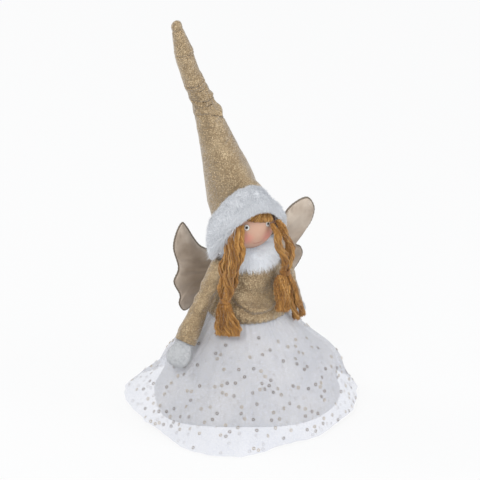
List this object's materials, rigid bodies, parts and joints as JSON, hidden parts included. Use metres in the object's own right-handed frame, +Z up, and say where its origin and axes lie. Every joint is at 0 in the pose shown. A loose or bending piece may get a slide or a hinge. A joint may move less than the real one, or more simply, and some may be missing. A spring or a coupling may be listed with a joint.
{
  "type": "fairy tree topper",
  "caption": "Stuffed fairy doll in a tall leaning hat, with padded wings, yarn pigtails and a gathered skirt over a hollow cone that slips over the top of a tree.",
  "frame": {"origin": "centre of the ring that the socket cone stands on, at the level of its foot", "axes": "+Z up from the cone's foot to the hat, -Y the way the doll faces, +X the doll's left"},
  "size_m": [0.228, 0.2163, 0.4064],
  "materials": {
    "gold_lame": "champagne gold lame cloth with a fine glitter",
    "fur": "long soft white fur",
    "cotton": "plain white cotton",
    "tulle": "sheer white tulle with small ring sequins",
    "skin": "smooth peach, painted face with rosy cheeks",
    "yarn": "loose ginger yarn",
    "satin": "champagne satin over thin padding",
    "piping": "thin dark edge piping",
    "card": "rolled grey-brown card",
    "wood": "bare turned wood"
  },
  "bodies": {
    "doll": {"socket_cone": "card", "cone_plug": "wood", "spine_dowel": "wood", "torso": "cotton", "underskirt": "cotton", "tulle_overskirt": "tulle", "waistband": "gold_lame", "bodice": "gold_lame", "fur_collar": "fur", "head": "skin", "hair_cap": "yarn", "hair_fringe": "yarn", "hat_brim": "fur", "hat_cone": "gold_lame", "hat_stuffing": "cotton", "wing_bridge": "satin"},
    "hat_end": {"hat_tip": "gold_lame"},
    "arm_right": {"sleeve_right": "gold_lame", "mitten_right": "fur"},
    "arm_left": {"sleeve_left": "gold_lame", "mitten_left": "fur"},
    "wing_right": {"wing_right": "satin", "wing_right_piping": "piping"},
    "wing_left": {"wing_left": "satin", "wing_left_piping": "piping"},
    "pigtail_right": {"pigtail_right": "yarn", "pigtail_right_tie": "yarn", "tassel_right": "yarn"},
    "pigtail_left": {"pigtail_left": "yarn", "pigtail_left_tie": "yarn", "tassel_left_inner": "yarn", "tassel_left_outer": "yarn"}
  },
  "joints": [
    {"name": "hat_bend", "type": "hinge", "parent": "doll", "child": "hat_end", "pos_m": [-0.04619, 0.02086, 0.34227], "axis": [-0.41, -0.9121, 0], "range_deg": [-12, 12]},
    {"name": "shoulder_right", "type": "hinge", "parent": "doll", "child": "arm_right", "pos_m": [-0.03, 0, 0.1523], "axis": [0, 1, 0], "range_deg": [0, 60]},
    {"name": "shoulder_left", "type": "hinge", "parent": "doll", "child": "arm_left", "pos_m": [0.04, 0, 0.1523], "axis": [-0.7071, -0.7071, 0], "range_deg": [0, 60]},
    {"name": "wing_bend_right", "type": "hinge", "parent": "doll", "child": "wing_right", "pos_m": [0.0007, 0.03266, 0.1348], "axis": [0, 0, -1], "range_deg": [-3, 12], "stiffness_Nm_per_rad": 0.02},
    {"name": "wing_bend_left", "type": "hinge", "parent": "doll", "child": "wing_left", "pos_m": [0.0153, 0.03266, 0.1348], "axis": [0, 0, 1], "range_deg": [-3, 12], "stiffness_Nm_per_rad": 0.02},
    {"name": "pigtail_swing_right", "type": "hinge", "parent": "doll", "child": "pigtail_right", "pos_m": [-0.01605, -0.0278, 0.1956], "axis": [-0.8386, 0.5447, 0], "range_deg": [0, 20]},
    {"name": "pigtail_swing_left", "type": "hinge", "parent": "doll", "child": "pigtail_left", "pos_m": [0.01605, -0.0278, 0.1956], "axis": [-0.8386, -0.5447, 0], "range_deg": [0, 20]}
  ]
}
